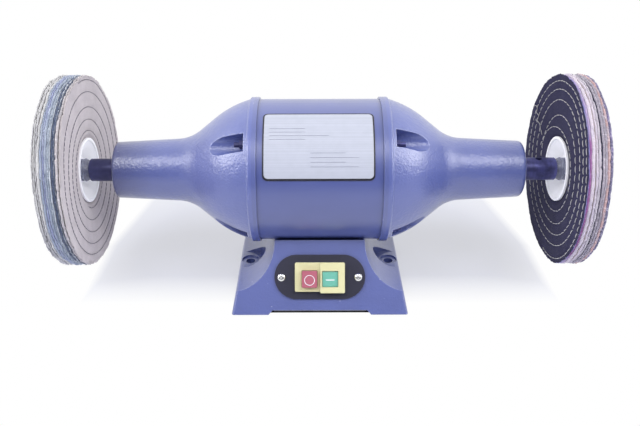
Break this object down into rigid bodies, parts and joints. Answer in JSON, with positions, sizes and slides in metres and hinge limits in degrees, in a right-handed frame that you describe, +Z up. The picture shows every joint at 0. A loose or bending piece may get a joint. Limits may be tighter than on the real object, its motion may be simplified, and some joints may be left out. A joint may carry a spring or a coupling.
{
  "type": "dental polishing lathe",
  "caption": "Double-ended polishing motor with flared end bells on a cast pedestal, push-button switch, and a stitched cloth buff on each spindle.",
  "frame": {"origin": "on the floor below the middle of the motor, level with the pedestal's feet and under the shaft", "axes": "+X along the shaft to the right as seen from the switch, +Y to the back, +Z up"},
  "size_m": [0.58, 0.2, 0.2244],
  "materials": {
    "housing_paint": "fine textured blue-violet enamel",
    "black_paint": "satin black",
    "zinc_steel": "zinc plated",
    "zinc_flange": "bright zinc plated pressed sheet",
    "black_steel": "blackened, lightly oiled",
    "bearing_steel": "ground",
    "lamination": "stacked sheet",
    "copper": "enamelled copper",
    "cage_aluminium": "die cast",
    "label_plate": "bare satin foil with a thin dark border",
    "rubber_seal": "matte",
    "black_plastic": "fine grain",
    "white_plastic": "matte",
    "yellow_plastic": "semi gloss",
    "red_plastic": "semi gloss",
    "green_plastic": "semi gloss",
    "capacitor_can": "drawn",
    "left_cloth": "stitched cotton and denim plies",
    "right_cloth": "stitched cotton and denim plies"
  },
  "bodies": {
    "stand": {"base_casting": "housing_paint", "base_cover": "black_paint", "base_cover_screws": "zinc_steel", "drum_bolts": "zinc_steel", "drum_bolt_washers": "zinc_steel", "motor_drum": "housing_paint", "left_end_bell": "housing_paint", "right_end_bell": "housing_paint", "tie_bolts": "black_steel", "tie_bolt_nuts": "black_steel", "rating_plate": "label_plate", "stator_core": "lamination", "stator_windings": "copper", "left_bearing_outer_ring": "bearing_steel", "right_bearing_outer_ring": "bearing_steel", "left_bearing_shields": "zinc_steel", "right_bearing_shields": "zinc_steel", "preload_washers": "bearing_steel", "left_shaft_seal": "rubber_seal", "right_shaft_seal": "rubber_seal", "switch_plate": "black_plastic", "switch_plate_screws": "zinc_steel", "switch_housing": "yellow_plastic", "switch_contact_block": "black_plastic", "capacitor": "capacitor_can", "capacitor_clamp": "zinc_steel", "capacitor_clamp_screw": "zinc_steel", "terminal_block": "white_plastic", "cable_gland": "black_plastic", "cable_gland_nut": "black_plastic"},
    "rotor": {"shaft": "black_steel", "rotor_core": "lamination", "rotor_cage": "cage_aluminium", "left_bearing_inner_ring": "bearing_steel", "left_bearing_balls": "bearing_steel", "left_spindle_collar": "black_steel", "left_inner_flange": "zinc_flange", "left_buff": "left_cloth", "left_outer_flange": "zinc_flange", "left_nut_washer": "zinc_steel", "left_spindle_nut": "black_steel", "right_bearing_inner_ring": "bearing_steel", "right_bearing_balls": "bearing_steel", "right_spindle_collar": "black_steel", "right_inner_flange": "zinc_flange", "right_buff": "right_cloth", "right_outer_flange": "zinc_flange", "right_nut_washer": "zinc_steel", "right_spindle_nut": "black_steel"},
    "stop_button": {"stop_button": "red_plastic"},
    "start_button": {"start_button": "green_plastic"}
  },
  "joints": [
    {"name": "rotor_spin", "type": "hinge", "parent": "stand", "child": "rotor", "pos_m": [0, 0, 0.1244], "axis": [1, 0, 0], "continuous": true},
    {"name": "stop_press", "type": "slide", "parent": "stand", "child": "stop_button", "axis": [0, 0.866, -0.5], "range_m": [0, 0.0035], "stiffness_N_per_m": 400, "springref_m": -0.001},
    {"name": "start_press", "type": "slide", "parent": "stand", "child": "start_button", "axis": [0, 0.866, -0.5], "range_m": [0, 0.0035], "stiffness_N_per_m": 400, "springref_m": -0.001}
  ]
}
